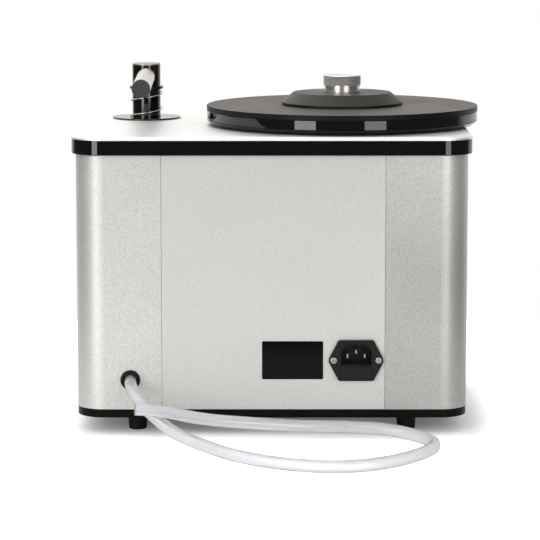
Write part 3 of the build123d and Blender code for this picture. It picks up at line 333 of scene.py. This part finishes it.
# deep-drawn plated can: grey, satin
motorCan = {"name": "platedDrawnSteel", "dark": "7d7f83", "light": "94969a", "grainMm": 1.2,
            "Metallic": 1.0, "roughness": 0.4, "reliefMm": 0.006}
# nickel-plated brass: warm bright silver
nickelBrass = {"name": "nickelPlatedBrass", "dark": "c6bfae", "light": "dcd6c8", "grainMm": 0.4,
               "Metallic": 1.0, "roughness": 0.24, "reliefMm": 0.002}
# nickel-plated steel: bright silver, soft at the edges from tumbling
nickelSteel = {"name": "nickelPlatedSteel", "dark": "a6a39d", "light": "c2bfb9", "grainMm": 0.5,
               "Metallic": 1.0, "roughness": 0.26, "reliefMm": 0.004}
# sintered bronze: brown-gold and open-grained
bearingBronze = {"name": "sinteredBronze", "dark": "8a6a38", "light": "b08a52", "grainMm": 0.5,
                 "Metallic": 1.0, "roughness": 0.42, "reliefMm": 0.02}
# moulded rubber: deep black, dull, with a faint bloom
mouldedRubber = {"name": "mouldedBlackRubber", "dark": "070707", "light": "0f0f0e", "grainMm": 0.8,
                 "roughness": 0.5, "reliefMm": 0.012, "IOR": 1.52, "Specular IOR Level": 0.15}
# moulded ABS with a fine spark-eroded texture, drawn 0.6 mm wide: charcoal, matt
mouldedAbs = {"name": "mouldedTexturedAbs", "dark": "1c1d20", "light": "2a2b2f", "grainMm": 0.6,
              "roughness": 0.46, "reliefMm": 0.012, "IOR": 1.54}
# moulded nylon: black, fine texture with a dull shine
inletNylon = {"name": "mouldedBlackNylon", "dark": "0a0a0a", "light": "121211", "grainMm": 0.5,
              "roughness": 0.34, "reliefMm": 0.008, "IOR": 1.53, "Specular IOR Level": 0.25}
# polished nylon: black and shiny
rockerNylon = {"name": "polishedBlackNylon", "dark": "0a0a0b", "light": "111112", "grainMm": 0.6,
               "roughness": 0.16, "reliefMm": 0.002, "IOR": 1.53}
# blown polyethylene: cloudy white, waxy
blownTank = {"name": "blownPolyethylene", "dark": "cfcfc8", "light": "e0e0da", "grainMm": 1.5,
             "roughness": 0.42, "reliefMm": 0.03, "IOR": 1.51}
# polyester film, back-printed in one colour: even black with a satin face
plateFilm = {"name": "satinPolyesterFilm", "dark": "040404", "light": "070707", "grainMm": 0.6,
             "roughness": 0.12, "roughnessDrift": 0.02, "Specular IOR Level": 0.1, "reliefMm": 0.001,
             "IOR": 1.58}
# cut velvet: black and soft, lighter where it turns away; its pile tufts are drawn 0.4 mm wide
velvetPile = {"name": "cutPileVelvet", "dark": "08080a", "light": "1c1c20", "grainMm": 0.4,
              "roughness": 0.9, "reliefMm": 0.2, "Sheen Weight": 0.8, "Sheen Roughness": 0.4}
# glass-epoxy laminate under solder resist: green, glossy
boardLaminate = {"name": "solderResistLaminate", "dark": "0f4a22", "light": "156030", "grainMm": 0.8,
                 "roughness": 0.3, "reliefMm": 0.008, "IOR": 1.55}
# turned nylon rod: off-white, waxy
whiteNylon = {"name": "naturalTurnedNylon", "dark": "d8d6cc", "light": "e6e4dc", "grainMm": 0.7,
              "roughness": 0.4, "reliefMm": 0.004, "IOR": 1.53}
# moulded epoxy and varnished windings: black, dull
componentEpoxy = {"name": "mouldedBlackEpoxy", "dark": "111112", "light": "1b1b1c", "grainMm": 0.6,
                  "roughness": 0.4, "reliefMm": 0.01, "IOR": 1.55}
# drawn glass tube: clear
fuseGlass = {"name": "drawnClearGlass", "dark": "e8eeee", "light": "f4f8f8", "grainMm": 3,
             "roughness": 0.03, "roughnessDrift": 0.01, "Transmission Weight": 0.9, "IOR": 1.5}

finishOf = {
    "wrap_case": wrapSheet, "rear_panel": panelSheet, "seam_strips": wrapSheet, "deck_plate": deckPlate,
    "top_band": blackAcrylic, "platter": blackAcrylic, "pillar_flange": blackAcrylic,
    "arm_pillar": blackAcrylic, "pillar_cap": capDisc, "base_plate": baseBoard,
    "platter_mat": matRubber, "clamp_disc": clampDisc, "corner_posts": milledAluminium,
    "platter_hub": milledAluminium, "gearbox_posts": milledAluminium, "clamp_knob": turnedAluminium,
    "drive_gearbox": castAluminium, "fan_housing": castAluminium, "arm_tube": drawnTube,
    "lift_spring": springWire, "retaining_ring": blackenedSteel, "thrust_washer": blackenedSteel,
    "spindle": groundSteel, "drive_shaft": groundSteel, "foot_screws": zincSteel,
    "base_screws": zincSteel, "band_screws": zincSteel, "guide_screws": zincSteel,
    "strap_screws": zincSteel, "tank_strap": zincSteel, "drive_motor": zincSteel,
    "vacuum_motor": motorCan, "inlet_pins": nickelBrass, "inlet_screws": nickelSteel,
    "shaft_bearing": bearingBronze, "feet": mouldedRubber, "clamp_gasket": mouldedRubber,
    "guide_seal": mouldedRubber, "suction_coupling": mouldedRubber, "vacuum_hose": mouldedRubber,
    "drain_grommet": mouldedRubber, "motor_mount_ring": mouldedRubber, "pillar_guide": mouldedAbs,
    "arm_end_cap": mouldedAbs, "tank_lid": mouldedAbs, "drain_spigot": mouldedAbs,
    "exhaust_duct": mouldedAbs, "switch_housings": mouldedAbs,
    "inlet_housing": inletNylon, "fuse_drawer": inletNylon,
    "direction_rocker": rockerNylon, "vacuum_rocker": rockerNylon,
    "waste_tank": blownTank, "rating_plate": plateFilm, "lip_strips": velvetPile,
    "power_board": boardLaminate, "board_standoffs": whiteNylon, "board_parts": componentEpoxy,
    "fuse": fuseGlass,
}
finishes = {}


def dress(item, values, sharpDeg=30):
    # each finish is made once and shared; edges sharper than sharpDeg stay crisp
    name = values["name"]
    if name not in finishes:
        finishes[name] = surfaceFinish(values)
    item.data.materials.clear()
    item.data.materials.append(finishes[name])
    item.data.polygons.foreach_set("use_smooth", [True] * len(item.data.polygons))
    item.data.set_sharp_from_angle(angle=math.radians(sharpDeg))


for nodeName, values in finishOf.items():
    dress(nodes[nodeName], values)
print("finishes made:", len(finishes))

knob = {
    "baseZ": 269.3,
    "waistR": 15.0,
    "waistH": 5.5,
    "footIn": 1.0,  # the foot is set in from the waist
    "footH": 0.5,
    "waistEdges": (0.1, 0.2),  # the waist's broken edges, low and high
    "grooveR": 14.5,
    "grooveH": 0.4,
    "knurlR": 15.9,
    "knurlH": 8.3,
    "edge": 0.5,
    "knurlDepth": 0.62,
    "knurlCount": 40,  # diamonds round the knob; the real 1.6 mm ones are drawn 2.5 mm wide
    "knurlRows": 3,
    "diamondSteps": 8,  # points across one diamond
    "grooveShare": 0.7,  # deeper than this share of the knurl is groove
    "topDish": 0.3,  # the turned face sits this far below its raised rim
    "topEdge": 0.1,
    "rimR": (13.5, 13.1),  # the raised rim's inner edge and the foot of its step
    "centreR": 2.0,
    "sharpDeg": 28,
}


def ringPoints(centre, radius, z, sides):
    turns = [2 * math.pi * i / sides for i in range(sides)]
    return [(centre[0] + radius * math.cos(turn) * mm, centre[1] + radius * math.sin(turn) * mm, z * mm)
            for turn in turns]


def ringMesh(name, rings, looped=False):
    # neighbouring rings of points are joined by quads; the first and last are closed,
    # or joined to each other when looped
    mesh = bpy.data.meshes.new(name)
    work = bmesh.new()
    rows = [[work.verts.new(point) for point in ring] for ring in rings]
    sides = len(rings[0])
    for low, high in zip(rows, rows[1:] + rows[:1] if looped else rows[1:]):
        for i in range(sides):
            j = (i + 1) % sides
            work.faces.new((low[i], low[j], high[j], high[i]))
    if not looped:
        work.faces.new(list(reversed(rows[0])))
        work.faces.new(rows[-1])
    work.to_mesh(mesh)
    work.free()
    item = bpy.data.objects.new(name, mesh)
    scene.collection.objects.link(item)
    return item


def makeKnob(values):
    centre = middle("clamp_knob")
    sides = values["knurlCount"] * values["diamondSteps"]
    base = values["baseZ"]
    waistTop = base + values["waistH"]
    knurlZ = waistTop + values["grooveH"]
    top = knurlZ + values["knurlH"]
    edge, waistR, knurlR = values["edge"], values["waistR"], values["knurlR"]
    lowEdge, highEdge = values["waistEdges"]
    footR, footTop = waistR - values["footIn"], base + values["footH"]
    # up from the foot, past the waist and the groove, to the knurl
    profile = [(footR, base), (footR, footTop), (waistR - lowEdge, footTop),
               (waistR, footTop + lowEdge), (waistR, waistTop - highEdge), (waistR - highEdge, waistTop),
               (values["grooveR"], waistTop), (values["grooveR"], knurlZ), (knurlR - edge, knurlZ)]
    rings = [ringPoints(centre, r, z, sides) for r, z in profile]
    steps = values["knurlRows"] * values["diamondSteps"]
    first, last = knurlZ + edge, top - edge
    for k in range(steps + 1):
        z = first + (last - first) * k / steps
        rise = k / steps * values["knurlRows"]
        ring = []
        for i, (x, y, zz) in enumerate(ringPoints(centre, 1, z, sides)):
            around = i * values["knurlCount"] / sides
            # two families of slanting V grooves leave a pyramid in each diamond
            cut = max(abs(((around + rise) % 1) * 2 - 1), abs(((around - rise) % 1) * 2 - 1))
            r = knurlR - values["knurlDepth"] * cut
            ring.append((centre[0] + (x - centre[0]) * r, centre[1] + (y - centre[1]) * r, zz))
        rings.append(ring)
    dished = top - values["topDish"]
    rimR, stepR = values["rimR"]
    rings += [ringPoints(centre, r, z, sides) for r, z in (
        (knurlR - edge - values["topEdge"], top), (rimR, top), (stepR, dished),
        (values["centreR"], dished))]
    item = ringMesh("knurledKnob", rings)
    dress(item, turnedAluminium, values["sharpDeg"])
    # faces deep in the knurl's grooves take a dark material: painted shade in the recesses
    item.data.materials.append(surfaceFinish(knurlGrooveShade))
    grooveR = (knurlR - values["grooveShare"] * values["knurlDepth"]) * mm
    for face in item.data.polygons:
        middleR = math.hypot(face.center.x - centre[0], face.center.y - centre[1])
        if first * mm < face.center.z < last * mm and middleR < grooveR:
            face.material_index = 1
    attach(item, "knob")
    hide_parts("clamp_knob")


makeKnob(knob)
print("knob knurled")

spring = {
    "lowZ": 244.35,  # the wire's middle line
    "highZ": 267.35,
    "coilR": 13.6,
    "wireR": 0.55,
    "turns": 1.75,
    "turnSteps": 64,
    "sides": 12,
    "sharpDeg": 40,
}


def makeSpring(values):
    # the bottom stays on the flange while the top follows the washer down
    rise = values["highZ"] - values["lowZ"]
    slope = math.atan(rise / (values["turns"] * 2 * math.pi * values["coilR"]))
    count = round(values["turns"] * values["turnSteps"])
    angles = [2 * math.pi * i / values["sides"] for i in range(values["sides"])]
    foot = Vector((*pillarAxis, values["lowZ"] * mm))
    rings = []
    for k in range(count + 1):
        turn = 2 * math.pi * values["turns"] * k / count
        out = Vector((math.cos(turn), math.sin(turn), 0))
        along = Vector((-out.y * math.cos(slope), out.x * math.cos(slope), math.sin(slope)))
        across = along.cross(out)
        centre = foot + (out * values["coilR"] + Vector((0, 0, rise * k / count))) * mm
        rings.append([centre + (out * math.cos(angle) + across * math.sin(angle)) * values["wireR"] * mm
                      for angle in angles])
    item = ringMesh("liftSpring", rings)
    dress(item, springWire, values["sharpDeg"])
    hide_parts("lift_spring")
    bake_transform(item)


makeSpring(spring)
print("spring coiled")

bevel = {
    "outerR": 113.8,
    "topZ": 246.6,
    "footR": 110.4,
    "footZ": 243.2,
    "footEdge": (0.2, 0.15),  # out and up
    "innerR": 104.0,
    "inset": 0.05,  # keeps it just inside the platter's edge
    "sides": 192,
}


def makeBevel(values):
    # the platter's edge is cut back underneath, down to just above the deck
    top, foot = values["topZ"], values["footZ"]
    out, up = values["footEdge"]
    profile = [(values["innerR"], foot), (values["footR"], foot), (values["footR"] + out, foot + up),
               (values["outerR"] - values["inset"], top), (values["innerR"], top)]
    rings = [ringPoints(spindleAxis, r, z, values["sides"]) for r, z in profile]
    item = ringMesh("platterBevel", rings, looped=True)
    dress(item, blackAcrylic)
    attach(item, "turntable")


makeBevel(bevel)
print("platter edge bevelled")

studio = {
    "floorRadius": 0.5,
    "floorSides": 96,
    "floorHex": "e6e6e6",
    "floorGlow": (0.12, 0.8),  # whitens the floor in view, beside the machine and further out,
    "glowReach": 0.045,  # from its footprint to this far past it, without lighting the machine
    "footprint": (0.155, 0.112, 0),  # half the case's length and width
    # tall softboxes: name, degrees from the camera's side as seen from the machine, and level
    "softboxes": (("leftSoftbox", 31, 5.6), ("rightSoftbox", -27, 4.0)),
    "boxSize": (0.95, 2.2),
    "boxDistance": 3.0,
    "boxHeight": 0.5,
    "backLevel": 1.0,  # white backdrop behind,
    "backWay": (-0.1, -1, 0),  # in this direction
    "backEdge": (0.42, 0.68),  # where it starts and is full
    "belowLevel": 0.15,  # the floor further out
    "belowEdge": (-0.18, -0.34),
    "overheadRight": 0.85,  # white ceiling, brighter over the left
    "overheadLeft": 1.7,
    "overheadAcross": (-0.2, 0.3),
    "overheadEdge": (0.04, 0.35),
    "darkLevel": 0.12,  # the room behind the camera
}


def makeFloor(values):
    material, tree = newMaterial("seamlessPaper")
    rays = addNode(tree, "ShaderNodeLightPath")
    seen = addNode(tree, "ShaderNodeMath", {"operation": "MAXIMUM"},
                   {0: rays.outputs["Is Camera Ray"], 1: rays.outputs["Is Transmission Ray"]})
    diffuse = addNode(tree, "ShaderNodeBsdfDiffuse", {"Color": linear(values["floorHex"])})
    place = addNode(tree, "ShaderNodeTexCoord").outputs["Object"]
    mirrored = addNode(tree, "ShaderNodeVectorMath", {"operation": "ABSOLUTE"}, {0: place})
    past = addNode(tree, "ShaderNodeVectorMath", {
        "operation": "SUBTRACT", 1: values["footprint"]}, {0: mirrored.outputs[0]})
    past = addNode(tree, "ShaderNodeVectorMath", {"operation": "MAXIMUM", 1: (0, 0, 0)}, {0: past.outputs[0]})
    reach = addNode(tree, "ShaderNodeVectorMath", {"operation": "LENGTH"}, {0: past.outputs[0]})
    beside, further = values["floorGlow"]
    level = addNode(tree, "ShaderNodeMapRange", {
        "interpolation_type": "SMOOTHSTEP", "From Min": 0, "From Max": values["glowReach"],
        "To Min": beside, "To Max": further}, {"Value": reach.outputs["Value"]})
    glow = addNode(tree, "ShaderNodeMath", {"operation": "MULTIPLY"},
                   {0: seen.outputs[0], 1: level.outputs[0]})
    light = addNode(tree, "ShaderNodeEmission", links={"Strength": glow.outputs[0]})
    both = addNode(tree, "ShaderNodeAddShader", links={0: diffuse.outputs[0], 1: light.outputs[0]})
    addNode(tree, "ShaderNodeOutputMaterial", links={"Surface": both.outputs[0]})
    mesh = bpy.data.meshes.new("floor")
    work = bmesh.new()
    bmesh.ops.create_circle(work, cap_ends=True, segments=values["floorSides"], radius=values["floorRadius"])
    work.to_mesh(mesh)
    work.free()
    item = bpy.data.objects.new("floor", mesh)
    item.data.materials.append(material)
    scene.collection.objects.link(item)


def makeSoftbox(name, azimuthDeg, level, values):
    # the light's power gives a surface of this level, where 1 is white
    data = bpy.data.lights.new(name, "AREA")
    data.shape = "RECTANGLE"
    data.size, data.size_y = values["boxSize"]
    data.energy = level * math.pi * data.size * data.size_y
    lamp = bpy.data.objects.new(name, data)
    turn = math.radians(azimuthDeg)
    reach = values["boxDistance"]
    lamp.location = (reach * math.sin(turn), reach * math.cos(turn), values["boxHeight"])
    aim = Vector((0, 0, values["boxHeight"]))
    lamp.rotation_euler = (lamp.location - aim).to_track_quat("Z", "Y").to_euler()
    lamp.visible_camera = False
    scene.collection.objects.link(lamp)


def makeWorld(values):
    # white for the camera; for light and reflections a backdrop, a ceiling and a dark room in front
    world = bpy.data.worlds.new("studio")
    world.use_nodes = True
    tree = world.node_tree
    tree.nodes.clear()
    way = addNode(tree, "ShaderNodeTexCoord").outputs["Generated"]
    parts = addNode(tree, "ShaderNodeSeparateXYZ", links={0: way})
    start, full = values["overheadAcross"]
    above = addNode(tree, "ShaderNodeMapRange", {
        "interpolation_type": "SMOOTHSTEP", "From Min": start, "From Max": full,
        "To Min": values["overheadRight"], "To Max": values["overheadLeft"]}, {"Value": parts.outputs["X"]})
    start, full = values["overheadEdge"]
    over = addNode(tree, "ShaderNodeMapRange", {
        "interpolation_type": "SMOOTHSTEP", "From Min": start, "From Max": full,
        "To Min": values["darkLevel"]}, {"Value": parts.outputs["Z"], "To Max": above.outputs[0]})
    side = addNode(tree, "ShaderNodeVectorMath", {"operation": "DOT_PRODUCT", 1: values["backWay"]}, {0: way})
    start, full = values["backEdge"]
    back = addNode(tree, "ShaderNodeMapRange", {
        "interpolation_type": "SMOOTHSTEP", "From Min": start, "From Max": full,
        "To Max": values["backLevel"]}, {"Value": side.outputs["Value"]})
    start, full = values["belowEdge"]
    below = addNode(tree, "ShaderNodeMapRange", {
        "interpolation_type": "SMOOTHSTEP", "From Min": start, "From Max": full,
        "To Max": values["belowLevel"]}, {"Value": parts.outputs["Z"]})
    level = addNode(tree, "ShaderNodeMath", {"operation": "MAXIMUM"},
                    {0: over.outputs[0], 1: back.outputs[0]})
    level = addNode(tree, "ShaderNodeMath", {"operation": "MAXIMUM"},
                    {0: level.outputs[0], 1: below.outputs[0]})
    camRay = addNode(tree, "ShaderNodeLightPath").outputs["Is Camera Ray"]
    shown = addNode(tree, "ShaderNodeMath", {"operation": "MAXIMUM"}, {0: level.outputs[0], 1: camRay})
    light = addNode(tree, "ShaderNodeBackground", {"Color": (1, 1, 1, 1)}, {"Strength": shown.outputs[0]})
    addNode(tree, "ShaderNodeOutputWorld", links={"Surface": light.outputs[0]})
    scene.world = world


makeFloor(studio)
makeWorld(studio)
for boxName, azimuthDeg, level in studio["softboxes"]:
    makeSoftbox(boxName, azimuthDeg, level, studio)
print("studio lit")
